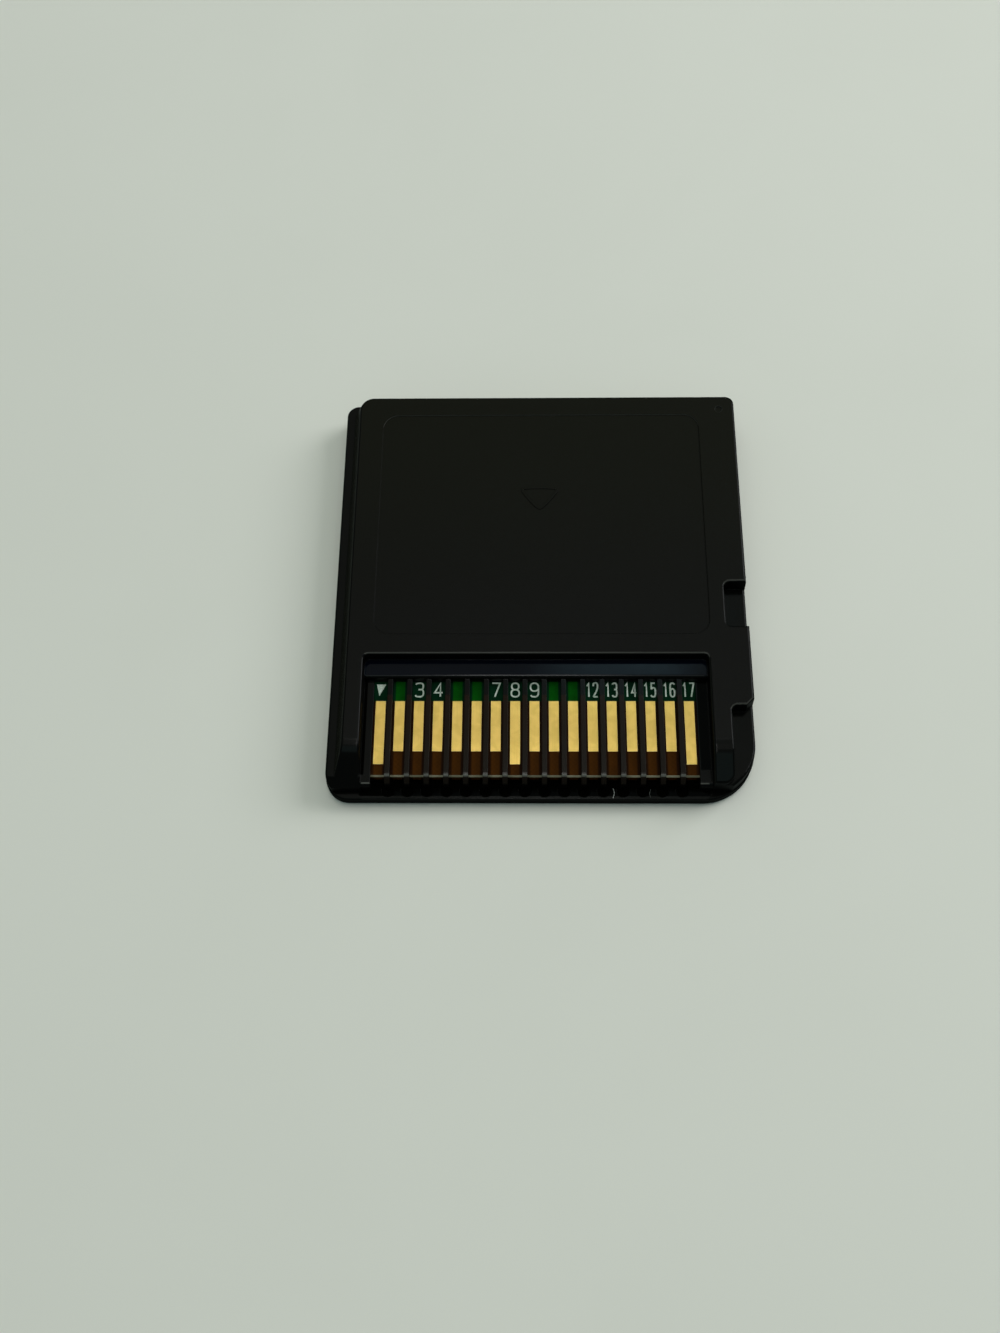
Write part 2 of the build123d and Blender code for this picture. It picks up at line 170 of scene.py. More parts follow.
def add_node(tree, kind, inputs=None, **properties):
    """Add a node, set its properties, and feed its inputs by name or by number."""
    node = tree.nodes.new(kind)
    for name, value in properties.items():
        setattr(node, name, value)
    for name, value in (inputs or {}).items():
        feed(tree, node.inputs[name], value)
    return node


def calc(tree, operation, *values):
    """One step of arithmetic on numbers: the output of a Math node."""
    return add_node(tree, "ShaderNodeMath", dict(enumerate(values)), operation=operation).outputs[0]


def vector_calc(tree, operation, *values):
    """One step of arithmetic on vectors: the vector output of a Vector Math node."""
    inputs = dict(enumerate(values))
    return add_node(tree, "ShaderNodeVectorMath", inputs, operation=operation).outputs["Vector"]


def mix_colour(tree, share, first, second):
    """A colour between two colours: all of the first at share 0 and all of the second at share 1."""
    mix = add_node(tree, "ShaderNodeMix", data_type="RGBA")
    for index, value in ((0, share), (6, first), (7, second)):
        feed(tree, mix.inputs[index], value)
    return mix.outputs[2]


def ramp(tree, value, low, high, start=0.0, end=1.0):
    """A smooth step: start where the value is below low, end where it is above high."""
    inputs = {"Value": value, "From Min": low, "From Max": high, "To Min": start, "To Max": end}
    return add_node(tree, "ShaderNodeMapRange", inputs, interpolation_type="SMOOTHSTEP").outputs[0]


def object_point(tree):
    """The point being shaded, in the card's own frame."""
    return add_node(tree, "ShaderNodeTexCoord").outputs["Object"]


def open_group(name, inputs, outputs):
    """A shader node group with named sockets: returns its tree, its inputs and its output node."""
    tree = bpy.data.node_groups.new(name, "ShaderNodeTree")
    for socket_name, (kind, default) in inputs.items():
        socket = tree.interface.new_socket(socket_name, in_out="INPUT", socket_type="NodeSocket" + kind)
        socket.default_value = default
    for socket_name, kind in outputs.items():
        tree.interface.new_socket(socket_name, in_out="OUTPUT", socket_type="NodeSocket" + kind)
    return tree, tree.nodes.new("NodeGroupInput").outputs, tree.nodes.new("NodeGroupOutput")


def place_group(tree, group, **inputs):
    """Put a group into a material with its own values, and return its outputs."""
    node = add_node(tree, "ShaderNodeGroup", node_tree=group)
    for name, value in inputs.items():
        feed(tree, node.inputs[name.replace("_", " ").title()], value)
    return node.outputs


print("node helpers ready")

# %% [markdown]
# ## Effect: moulded grain
#
# The mould for a plastic shell is often cut by sparks, which leaves a field of tiny overlapping craters.
# The plastic copies them as a fine matte grain. A Voronoi texture gives round cells like craters, and a
# noise makes them uneven. The group gives a height for bump and a speckle that lets the colour vary a
# little.

# %% Build the grain group
def build_grain():
    """Height = mean of the soft cell distance and a noise, both at the scale of one crater."""
    inputs = {"Crater Size": ("Float", 0.12 * mm)}
    tree, given, out = open_group("moulded_grain", inputs, {"Height": "Float", "Speckle": "Float"})
    point = object_point(tree)
    scale = calc(tree, "DIVIDE", 1.0, given["Crater Size"])
    cells = add_node(tree, "ShaderNodeTexVoronoi", {"Vector": point, "Scale": scale}, feature="SMOOTH_F1")
    rough = add_node(tree, "ShaderNodeTexNoise", {"Vector": point, "Scale": scale, "Detail": 3.0})
    height = calc(tree, "ADD", cells.outputs["Distance"], rough.outputs[0])
    feed(tree, out.inputs["Height"], calc(tree, "MULTIPLY", height, 0.5))
    feed(tree, out.inputs["Speckle"], ramp(tree, rough.outputs[0], 0.3, 0.7))
    return tree


grain_group = build_grain()
print("group:", grain_group.name)

# %% [markdown]
# ## Effect: worn edges
#
# Edges of plastic and metal are the first to be rubbed. The Bevel node returns the direction that a
# surface would have if its edges were rounded. Where that differs from the true direction, there is an
# edge close by. A noise breaks the line up, because no edge wears evenly.

# %% Build the edge wear group
def build_edge_wear():
    """Mask = how far the rounded direction turns away from the true one, broken up by a noise."""
    inputs = {"Reach": ("Float", 0.1 * mm), "Patch Size": ("Float", 0.8 * mm)}
    tree, given, out = open_group("edge_wear", inputs, {"Mask": "Float"})
    rounded = add_node(tree, "ShaderNodeBevel", {"Radius": given["Reach"]}, samples=8).outputs[0]
    true = add_node(tree, "ShaderNodeNewGeometry").outputs["Normal"]
    agree = add_node(tree, "ShaderNodeVectorMath", {0: rounded, 1: true}, operation="DOT_PRODUCT")
    turn = ramp(tree, calc(tree, "SUBTRACT", 1.0, agree.outputs["Value"]), 0.01, 0.22)
    scale = calc(tree, "DIVIDE", 1.0, given["Patch Size"])
    patch_inputs = {"Vector": object_point(tree), "Scale": scale, "Detail": 4.0}
    patches = ramp(tree, add_node(tree, "ShaderNodeTexNoise", patch_inputs).outputs[0], 0.3, 0.65)
    feed(tree, out.inputs["Mask"], calc(tree, "MULTIPLY", turn, patches))
    return tree


wear_group = build_edge_wear()
print("group:", wear_group.name)

# %% [markdown]
# ## Effect: a finish that stops at a border
#
# One piece can carry two finishes: a board is brown on its face and cream along its cut edge. A box in the
# card's own frame marks where the second finish holds. How far a point lies past the box is the largest
# of three overshoots, one along each axis, so a few steps of arithmetic give a border of any softness.

# %% Build the zone group
def build_zone():
    """Mask = 1 inside the box middle plus or minus half size, fading to 0 over the softness outside it."""
    inputs = {
        "Middle": ("Vector", (0.0, 0.0, 0.0)),
        "Half Size": ("Vector", (1.0, 1.0, 1.0)),
        "Softness": ("Float", 0.02 * mm),
    }
    tree, given, out = open_group("zone", inputs, {"Mask": "Float"})
    offset = vector_calc(tree, "SUBTRACT", object_point(tree), given["Middle"])
    past = vector_calc(tree, "SUBTRACT", vector_calc(tree, "ABSOLUTE", offset), given["Half Size"])
    axes = add_node(tree, "ShaderNodeSeparateXYZ", {0: past}).outputs
    overshoot = calc(tree, "MAXIMUM", axes[0], calc(tree, "MAXIMUM", axes[1], axes[2]))
    feed(tree, out.inputs["Mask"], ramp(tree, overshoot, 0.0, given["Softness"], start=1.0, end=0.0))
    return tree


zone_group = build_zone()


def zone(tree, low, high, softness=0.02 * mm):
    """Mask of a box given by its lowest and highest corner."""
    middle = (low + high) / 2
    half = (high - low) / 2
    return place_group(tree, zone_group, middle=middle, half_size=half, softness=softness)["Mask"]


print("group:", zone_group.name)

# %% [markdown]
# ## Effect: handling film
#
# A card that has been in many hands carries a thin, uneven film that changes the gloss more than the
# colour. A warped noise gives the blotches, and every material takes the same group with a blotch size of
# its own.

# %% Build the film group
def build_film():
    """Mask = noise of the given blotch size, stretched to full contrast."""
    tree, given, out = open_group("handling_film", {"Blotch Size": ("Float", 4 * mm)}, {"Mask": "Float"})
    scale = calc(tree, "DIVIDE", 1.0, given["Blotch Size"])
    inputs = {"Vector": object_point(tree), "Scale": scale, "Detail": 5.0, "Distortion": 0.6}
    blotches = add_node(tree, "ShaderNodeTexNoise", inputs).outputs[0]
    feed(tree, out.inputs["Mask"], ramp(tree, blotches, 0.32, 0.68))
    return tree


film_group = build_film()
print("group:", film_group.name)

# %% [markdown]
# ## Effect: wipe marks
#
# Each time the card is pushed into its slot, spring contacts drag along the pads. The marks are fine lines
# along the card, far longer than they are wide. Squeezing the noise's space across the card and stretching
# it along the card draws such lines from one texture.

# %% Build the wipe group
def build_wipe():
    """Height = noise with cells narrow across the card and long along it; Mask = its strongest lines."""
    inputs = {"Line Width": ("Float", 0.03 * mm), "Line Length": ("Float", 2.5 * mm)}
    tree, given, out = open_group("wipe_marks", inputs, {"Height": "Float", "Mask": "Float"})
    across = calc(tree, "DIVIDE", 1.0, given["Line Width"])
    along = calc(tree, "DIVIDE", 1.0, given["Line Length"])
    squeeze = add_node(tree, "ShaderNodeCombineXYZ", {0: across, 1: along, 2: along}).outputs[0]
    point = vector_calc(tree, "MULTIPLY", object_point(tree), squeeze)
    line_inputs = {"Vector": point, "Scale": 1.0, "Detail": 2.0}
    lines = add_node(tree, "ShaderNodeTexNoise", line_inputs).outputs[0]
    feed(tree, out.inputs["Height"], lines)
    feed(tree, out.inputs["Mask"], ramp(tree, lines, 0.5, 0.72))
    return tree


wipe_group = build_wipe()
print("group:", wipe_group.name)

# %% [markdown]
# ## Finish: black shell plastic
#
# The shells are moulded from black plastic that has almost no colour of its own: what is seen is the room
# in its surface. So the material has a weak mirror and hardly any base colour, and the rest of the work is
# to say where the plastic is rough, where it is smooth and which way it faces. It is put together from a
# few functions, one for each question. The first three helpers serve the other materials too.

# %% Start a material
def new_material(name, sockets):
    """A material whose shader has the given constant sockets: returns it with its tree and its shader."""
    material = bpy.data.materials.new(name)
    material.use_nodes = True
    shader = material.node_tree.nodes["Principled BSDF"]
    for socket_name, value in sockets.items():
        shader.inputs[socket_name].default_value = value
    return material, material.node_tree, shader


def bump(tree, height, distance, normal=None):
    """The shading direction over a height field of the given depth."""
    inputs = {"Height": height, "Distance": distance, "Strength": 1.0}
    if normal is not None:
        inputs["Normal"] = normal
    return add_node(tree, "ShaderNodeBump", inputs).outputs[0]


def dress(tree, shader, colour, roughness, direction):
    """Feed what changes over a surface: its colour, its roughness and the direction it faces."""
    looks = {"Base Color": colour, "Roughness": roughness, "Normal": direction}
    for socket_name, value in looks.items():
        feed(tree, shader.inputs[socket_name], value)


print("material helpers ready")

# %% [markdown]
# ### Which face is it?
#
# The outer faces are grained, so they show the room as one even dark grey. Between them, on the flange,
# the ledge and the ribs, and on the two noses that slide into the slot, the mould is smooth. A shell is
# one piece with one material, so its faces are told apart by height, by the place along the card and by
# the direction of the face. The true direction of the mesh is read, because bump and rounding would blur
# the answer.

# %% Tell the shell's faces apart
top_band = 0.3 * mm
top_skin = 0.1 * mm
nose_blend = 0.3 * mm
seam_blend = 0.2 * mm


def shell_faces(tree):
    """Masks of the shell's faces, each from a point's place or from the direction of its face."""
    place = add_node(tree, "ShaderNodeSeparateXYZ", {0: object_point(tree)}).outputs
    direction = add_node(tree, "ShaderNodeNewGeometry").outputs["True Normal"]
    slant = add_node(tree, "ShaderNodeSeparateXYZ", {0: direction}).outputs
    level = calc(tree, "ABSOLUTE", slant["Z"])
    on_top = ramp(tree, place["Z"], rear_high.z - top_band, rear_high.z - top_skin)
    behind_noses = ramp(tree, place["Y"], nose_slope_back - nose_blend, nose_slope_back)
    below_seam = ramp(tree, place["Z"], rear_low.z - seam_blend, rear_low.z, start=1.0, end=0.0)
    outside_tray = calc(tree, "SUBTRACT", 1.0, zone(tree, tray_low, tray_high))
    flat_top = calc(tree, "MULTIPLY", on_top, ramp(tree, level, 0.97, 0.995))
    upper_face = calc(tree, "MULTIPLY", flat_top, behind_noses)
    lower_face = calc(tree, "MULTIPLY", below_seam, outside_tray)
    return {
        "place": place,
        "slant": slant,
        "level": level,
        "on_top": on_top,
        "behind_noses": behind_noses,
        "below_seam": below_seam,
        "grained": calc(tree, "MAXIMUM", upper_face, lower_face),
        "to_front": ramp(tree, slant["Y"], -0.2, -0.1, start=1.0, end=0.0),
        "ledge": zone(tree, ledge_low, ledge_high),
    }


print("shell faces can be told apart")

# %% [markdown]
# ### Tints of the black, most of them painted light
#
# Nearly black plastic takes a tint from the light around it, and here that light is painted into the base
# colour. The ribs get painted amber light from the gold and the laminate, most of all at the back of the
# pads. The polished ledge gets a painted cool reflection, and the leaning left side a painted paler light.
# The outer faces also go from darker at the front to lighter and warmer at the back. Many bounces of light
# could give some of the painted light, at a long render time. A weak tint in the base colour does it at
# once, though it stays the same under other light.

# %% Colour the shell
rib_blend = 0.2 * mm


def shell_colour(tree, faces, speckle):
    """Black of the inner and the outer faces, with painted light on the ledge, the ribs and the leaning side.
    """
    inner = mix_colour(tree, speckle, (0.0005, 0.0006, 0.0004, 1), (0.0013, 0.0014, 0.0010, 1))
    # Painted cool reflection on the level top of the ledge.
    ledge_top = calc(tree, "MULTIPLY", faces["ledge"], ramp(tree, faces["level"], 0.9, 0.97))
    with_painted_reflection = mix_colour(tree, ledge_top, inner, (0.0003, 0.0012, 0.0046, 1))
    # Painted amber light on the ribs, strongest at the back of the pads.
    along_pads = ramp(tree, faces["place"]["Y"], board_low.y, pad_back)
    painted_bounce_light = mix_colour(tree, along_pads, (0.0075, 0.0047, 0.0028, 1), (0.0090, 0.0034, 0.0005, 1))
    with_painted_bounce = mix_colour(tree, zone(tree, rib_low, rib_high, softness=rib_blend), with_painted_reflection, painted_bounce_light)
    # Painted paler light on the faces that lean to the left.
    to_left = ramp(tree, faces["slant"]["X"], -0.8, -0.6, start=1.0, end=0.0)
    leaning_side = calc(tree, "MULTIPLY", to_left, ramp(tree, faces["slant"]["Z"], 0.3, 0.36))
    with_painted_side_light = mix_colour(tree, leaning_side, with_painted_bounce, (0.013, 0.0135, 0.010, 1))
    near = mix_colour(tree, speckle, (0.0003, 0.0003, 0.0000, 1), (0.0009, 0.0009, 0.0003, 1))
    far = mix_colour(tree, speckle, (0.0028, 0.0030, 0.0004, 1), (0.0036, 0.0038, 0.0009, 1))
    outer = mix_colour(tree, ramp(tree, faces["place"]["Y"], slot_back, rear_high.y), near, far)
    return mix_colour(tree, faces["grained"], with_painted_side_light, outer)


print("shell colours ready")

# %% [markdown]
# ### Rubbed edges and painted highlights
#
# The top edges of the shell are rubbed to a grey line, which is the shared edge wear kept to the top.
# Rounds that face the front get a painted highlight, paler still: the noses of the ribs, the rim of the
# window, the edge of the lip and the low far wall of the panel. The highlights are only a pixel or two wide,
# so each is picked by its slant and given a share of a pale colour: less on the top, and least on the ledge.

# %% Rub the edges and paint highlights on the rounds
def rubbed_edges(tree, faces):
    """Mask = edge wear on the top, outside the panel."""
    wear = place_group(tree, wear_group, reach=0.12 * mm, patch_size=1.2 * mm)["Mask"]
    outside_panel = calc(tree, "SUBTRACT", faces["on_top"], zone(tree, panel_low, panel_high))
    return calc(tree, "MULTIPLY", wear, calc(tree, "MAXIMUM", outside_panel, 0.0))


def pale_rounds(tree, faces):
    """Painted highlight: rounds facing the front between or behind the noses, and the panel's far wall."""
    slant_z = faces["slant"]["Z"]
    rim = calc(tree, "MULTIPLY", faces["on_top"], ramp(tree, slant_z, 0.74, 0.8))
    on_round = calc(tree, "MAXIMUM", rim, ramp(tree, slant_z, 0.87, 0.93))
    steep = calc(tree, "COMPARE", slant_z, 0.7, 0.1)
    lip_edge = calc(tree, "MULTIPLY", steep, calc(tree, "MULTIPLY", faces["below_seam"], 0.5))
    front_round = calc(tree, "MULTIPLY", faces["to_front"], calc(tree, "MAXIMUM", on_round, lip_edge))
    top_behind = calc(tree, "MULTIPLY", faces["behind_noses"], faces["on_top"])
    shown = calc(tree, "MAXIMUM", zone(tree, between_low, between_high), top_behind)
    top_share = calc(tree, "MULTIPLY_ADD", faces["on_top"], -0.42, 0.9)
    share = calc(tree, "MULTIPLY_ADD", faces["ledge"], -0.75, top_share)
    # Painted highlight: a share of the pale colour on each front-facing round.
    rounds = calc(tree, "MULTIPLY", calc(tree, "MULTIPLY", front_round, shown), share)
    far_wall = calc(tree, "MULTIPLY", faces["to_front"], zone(tree, far_wall_low, far_wall_high))
    return calc(tree, "MAXIMUM", rounds, far_wall)


print("rubbed places ready")

# %% [markdown]
# ### Gloss and direction
#
# Grained faces and upright walls are dull, and the ledge is the smoothest face of all. The Bevel node
# rounds every edge by a hair, which is what catches the light on real mouldings. In the narrow places
# beside the slots and in front of the board, the plastic sees only dark walls. Leaning the direction there
# to the left makes it mirror the dark side of the room, a cheat that fits this light and costs nothing.

# %% Put the shell material together
edge_radius = 0.08 * mm
shade_blend = 0.03 * mm
sideways_lean = -0.55
crater_depth = 0.008 * mm


def shell_roughness(tree, faces):
    """Smooth plastic, smoothest on the ledge, and rougher where it is grained, upright or filmed."""
    film = place_group(tree, film_group, blotch_size=5 * mm)["Mask"]
    upright = ramp(tree, faces["level"], 0.2, 0.5, start=1.0, end=0.0)
    roughness = calc(tree, "MULTIPLY_ADD", faces["ledge"], -0.06, 0.14)
    for mask, added in ((faces["grained"], 0.22), (upright, 0.3), (film, 0.05)):
        roughness = calc(tree, "MULTIPLY_ADD", mask, added, roughness)
    return roughness


def shell_direction(tree):
    """Direction of the surface with its edges rounded, leaning sideways in the shaded places."""
    rounded = add_node(tree, "ShaderNodeBevel", {"Radius": edge_radius}, samples=6).outputs[0]
    shaded = 0.0
    for low, high in shaded_places:
        shaded = calc(tree, "MAXIMUM", shaded, zone(tree, low, high, softness=shade_blend))
    sideways = calc(tree, "MULTIPLY", shaded, sideways_lean)
    lean = add_node(tree, "ShaderNodeCombineXYZ", {"X": sideways}).outputs[0]
    return vector_calc(tree, "NORMALIZE", vector_calc(tree, "ADD", rounded, lean))


def make_shell_plastic():
    """Black plastic: grained outside, smooth between, rubbed paler on edges, painted highlights on rounds."""
    material, tree, shader = new_material("shell_plastic", {"Specular IOR Level": 0.09})
    faces = shell_faces(tree)
    grain = place_group(tree, grain_group, crater_size=0.11 * mm)
    body = shell_colour(tree, faces, grain["Speckle"])
    worn = mix_colour(tree, rubbed_edges(tree, faces), body, (0.034, 0.036, 0.032, 1))
    # The pale colour on the front-facing rounds is a painted highlight.
    colour = mix_colour(tree, pale_rounds(tree, faces), worn, (0.085, 0.085, 0.075, 1))
    depth = calc(tree, "MULTIPLY_ADD", faces["grained"], 0.92, 0.08)
    height = calc(tree, "MULTIPLY", grain["Height"], depth)
    direction = bump(tree, height, crater_depth, normal=shell_direction(tree))
    dress(tree, shader, colour, shell_roughness(tree, faces), direction)
    return material


shell_plastic = make_shell_plastic()
print("material:", shell_plastic.name)

# %% [markdown]
# ## Finish: board laminate
#
# The board is glass cloth in amber resin. Seen through the slots it is a dark brown with the cloth's weave
# just showing. Its colour holds painted light and shade: paler in a stripe in line with each pad, darker
# beside the ribs. Along the contact edge the board is bevelled, and there the cut glass fibres are a pale
# cream. The weave is the product of two sine waves, one along each axis, which is a checker with soft
# squares. The painted stripes are one cosine across the card, in step with the pads.

# %% Make the laminate material
thread_pitch = 0.2 * mm
board_bevel = 0.11 * mm
bevel_blend = 0.03 * mm


def cut_edge(tree):
    """Mask of the bevel along the board's contact edge."""
    low = Vector((board_low.x - mm, board_low.y - mm, board_high.z - board_bevel))
    high = Vector((board_high.x + mm, board_low.y + board_bevel, board_high.z + mm))
    return zone(tree, low, high, softness=bevel_blend)


def make_laminate():
    """Amber brown laminate: faint weave, painted light and shade in step with the pads, pale cut edge."""
    material, tree, shader = new_material("board_laminate", {"Specular IOR Level": 0.02})
    axes = add_node(tree, "ShaderNodeSeparateXYZ", {0: object_point(tree)}).outputs
    angles = [calc(tree, "MULTIPLY", axis, math.pi / thread_pitch) for axis in axes[:2]]
    waves = [calc(tree, "SINE", angle) for angle in angles]
    weave = calc(tree, "MULTIPLY_ADD", calc(tree, "MULTIPLY", *waves), 0.5, 0.5)
    # Painted light and shade: lighter in line with each pad, darker beside the ribs where their shade falls.
    from_pad = calc(tree, "SUBTRACT", axes[0], float(pad_x[0]))
    in_step = calc(tree, "COSINE", calc(tree, "MULTIPLY", from_pad, 2 * math.pi / float(pad_pitch)))
    painted_slot_light = ramp(tree, in_step, -0.2, 0.5)
    film = place_group(tree, film_group, blotch_size=1.6 * mm)["Mask"]
    resin_with_painted_shade = mix_colour(tree, painted_slot_light, (0.0095, 0.0021, 0.0003, 1), (0.068, 0.0205, 0.0009, 1))
    woven = mix_colour(tree, calc(tree, "MULTIPLY", weave, 0.25), resin_with_painted_shade, (0.026, 0.0080, 0.0005, 1))
    uneven = mix_colour(tree, calc(tree, "MULTIPLY", film, 0.3), woven, (0.030, 0.0095, 0.0007, 1))
    cream = mix_colour(tree, film, (0.30, 0.28, 0.20, 1), (0.16, 0.15, 0.10, 1))
    colour = mix_colour(tree, cut_edge(tree), uneven, cream)
    roughness = calc(tree, "MULTIPLY_ADD", weave, 0.12, 0.36)
    dress(tree, shader, colour, roughness, bump(tree, weave, 0.003 * mm))
    return material


laminate = make_laminate()
print("material:", laminate.name)

# %% [markdown]
# ## Finish: green solder mask
#
# Solder mask is a glossy green lacquer. Where copper lies under it, the copper's shine comes through and
# the green is brighter; over bare laminate it is a darker blue-green. In this field the wide traces run
# under five of the slots, so a band around each of those pads' middles is mixed towards the brighter
# green.

# %% Make the solder mask material
copper_slots = (2, 5, 6, 10, 11)
trace_half_width = 0.36 * mm


def make_solder_mask():
    """Green lacquer, brighter over the copper under five slots."""
    material, tree, shader = new_material("solder_mask_green", {"Specular IOR Level": 0.01})
    axes = add_node(tree, "ShaderNodeSeparateXYZ", {0: object_point(tree)}).outputs
    copper = 0.0
    for slot in copper_slots:
        band = calc(tree, "COMPARE", axes[0], float(pad_x[slot - 1]), trace_half_width)
        copper = calc(tree, "MAXIMUM", band, copper)
    film = place_group(tree, film_group, blotch_size=1.1 * mm)["Mask"]
    over_copper = mix_colour(tree, film, (0.0014, 0.078, 0.0030, 1), (0.0011, 0.058, 0.0025, 1))
    over_board = mix_colour(tree, film, (0.0010, 0.022, 0.0080, 1), (0.0008, 0.016, 0.0062, 1))
    colour = mix_colour(tree, copper, over_board, over_copper)
    roughness = calc(tree, "MULTIPLY_ADD", film, 0.1, 0.28)
    ripple = place_group(tree, grain_group, crater_size=0.3 * mm)["Height"]
    dress(tree, shader, colour, roughness, bump(tree, ripple, 0.004 * mm))
    return material


solder_mask = make_solder_mask()
print("material:", solder_mask.name)

# %% [markdown]
# ## Finish: gold plating
#
# The pads are copper under a hard gold plate. Gold is a true metal, so its colour is the colour of its
# reflections, and its look comes from roughness: fine wipe marks along the card, a slightly duller patch
# where the springs come to rest, and small blotches. The rim of each pad is rubbed paler by the shared
# edge wear.

# %% Make the gold material
rest_front = 3.1 * mm
rest_back = 1.5 * mm
rest_blend = 0.7 * mm
beyond_card = 1.0


def make_gold():
    """Worn gold plate with wipe marks along the pads and a dull rest patch."""
    material, tree, shader = new_material("gold_plate", {"Metallic": 1.0})
    wipe = place_group(tree, wipe_group, line_width=0.035 * mm, line_length=3.0 * mm)
    film = place_group(tree, film_group, blotch_size=0.9 * mm)["Mask"]
    rest_low = Vector((-beyond_card, pad_back - rest_front, -beyond_card))
    rest_high = Vector((beyond_card, pad_back - rest_back, beyond_card))
    rest = zone(tree, rest_low, rest_high, softness=rest_blend)
    plate = mix_colour(tree, film, (0.600, 0.402, 0.110, 1), (0.500, 0.342, 0.086, 1))
    worn = place_group(tree, wear_group, reach=0.06 * mm, patch_size=0.5 * mm)["Mask"]
    bright = mix_colour(tree, calc(tree, "MULTIPLY", worn, 0.8), plate, (0.72, 0.57, 0.30, 1))
    marked = calc(tree, "MAXIMUM", wipe["Mask"], calc(tree, "MULTIPLY", rest, 0.5))
    dulled = calc(tree, "MULTIPLY", marked, 0.35)
    colour = mix_colour(tree, dulled, bright, (0.410, 0.276, 0.072, 1))
    lined = calc(tree, "MULTIPLY_ADD", wipe["Mask"], 0.1, 0.3)
    roughness = calc(tree, "MULTIPLY_ADD", rest, 0.06, lined)
    dress(tree, shader, colour, roughness, bump(tree, wipe["Height"], 0.003 * mm))
    return material


gold_plate = make_gold()
print("material:", gold_plate.name)

# %% [markdown]
# ## Finishes inside the card
#
# The chips are hidden once the shells are closed, yet a part that is taken apart still shows them. Each
# gets the finish of its kind: satin epoxy, fine-grained chip plastic, tinned leads, pale capacitor
# ceramic, dark resistor film and grey silicon. They share the same groups as the outside, with other
# values.

# %% Define the chip finishes
def make_moulded(name, dark, pale, roughness, crater_size, depth):
    """A moulded or cast surface: two close colours mixed by speckle, over grain of the given depth."""
    material, tree, shader = new_material(name, {"Specular IOR Level": 0.4})
    grain = place_group(tree, grain_group, crater_size=crater_size)
    film = place_group(tree, film_group, blotch_size=2 * mm)["Mask"]
    colour = mix_colour(tree, grain["Speckle"], dark, pale)
    filmed = calc(tree, "MULTIPLY_ADD", film, 0.12, roughness)
    dress(tree, shader, colour, filmed, bump(tree, grain["Height"], depth))
    return material


def make_drawn_metal(name, colour, stained, roughness):
    """A drawn or plated metal: wipe marks for the drawing lines and a film for the stains."""
    material, tree, shader = new_material(name, {"Metallic": 1.0})
    wipe = place_group(tree, wipe_group, line_width=0.02 * mm, line_length=0.6 * mm)
    film = place_group(tree, film_group, blotch_size=0.4 * mm)["Mask"]
    dulled = mix_colour(tree, film, colour, stained)
    lined = calc(tree, "MULTIPLY_ADD", wipe["Mask"], 0.15, roughness)
    dress(tree, shader, dulled, lined, bump(tree, wipe["Height"], 0.002 * mm))
    return material


print("chip finishes ready")

# %% Make the chip materials
epoxy = make_moulded(
    "cap_epoxy", (0.006, 0.006, 0.007, 1), (0.011, 0.011, 0.012, 1),
    roughness=0.34, crater_size=0.5 * mm, depth=0.02 * mm)
chip_plastic = make_moulded(
    "chip_plastic", (0.012, 0.012, 0.013, 1), (0.022, 0.022, 0.023, 1),
    roughness=0.5, crater_size=0.08 * mm, depth=0.008 * mm)
ceramic = make_moulded(
    "capacitor_ceramic", (0.42, 0.30, 0.18, 1), (0.50, 0.37, 0.23, 1),
    roughness=0.42, crater_size=0.05 * mm, depth=0.004 * mm)
alumina = make_moulded(
    "resistor_film", (0.014, 0.015, 0.018, 1), (0.028, 0.029, 0.032, 1),
    roughness=0.3, crater_size=0.06 * mm, depth=0.003 * mm)
silicon = make_drawn_metal("die_silicon", (0.20, 0.21, 0.24, 1), (0.15, 0.16, 0.19, 1), roughness=0.16)
tin = make_drawn_metal("tinned_lead", (0.62, 0.61, 0.58, 1), (0.50, 0.49, 0.46, 1), roughness=0.3)
chip_materials = (epoxy, chip_plastic, ceramic, alumina, silicon, tin)
print("chip materials:", [material.name for material in chip_materials])

# %% Give every CAD node its finish
finishes = {
    "shell_black": shell_plastic,
    "laminate": laminate,
    "solder_mask": solder_mask,
    "gold_plate": gold_plate,
    "epoxy": epoxy,
    "chip_plastic": chip_plastic,
    "ceramic": ceramic,
    "alumina": alumina,
    "silicon": silicon,
    "tin": tin,
}
for piece in nodes.values():
    for material_slot in piece.material_slots:
        material_slot.material = finishes[material_slot.material.name]
print("nodes finished:", len(nodes))

# %% [markdown]
# ## Printed pin numbers
#
# A contact board carries white print that helps whoever tests it: a triangle at the first pin and the
# number of each pin that has bare mask behind it. The ink is a thin layer with soft shoulders. A text
# object could give the digits, but its outlines are made for paper. Here every stroke is one profile
# carried along one path: the path is a few points with their corners cut, and the profile is a low
# trapezium.

# %% Carry a profile along a path
sharpest_mitre = 0.5
shoulder = 0.8


def cut_corners(points, passes, closed):
    """Replace each side by its points at a quarter and three quarters, again and again, to round the path."""
    path = np.asarray(points, float)
    for _ in range(passes):
        nexts = np.roll(path, -1, axis=0) if closed else path[1:]
        starts = path if closed else path[:-1]
        quarters = [0.75 * starts + 0.25 * nexts, 0.25 * starts + 0.75 * nexts]
        cut = np.stack(quarters, axis=1).reshape(-1, 2)
        path = cut if closed else np.vstack([path[:1], cut, path[-1:]])
    return path


def unit(rows):
    """Each row divided by its length."""
    return rows / np.linalg.norm(rows, axis=1, keepdims=True)


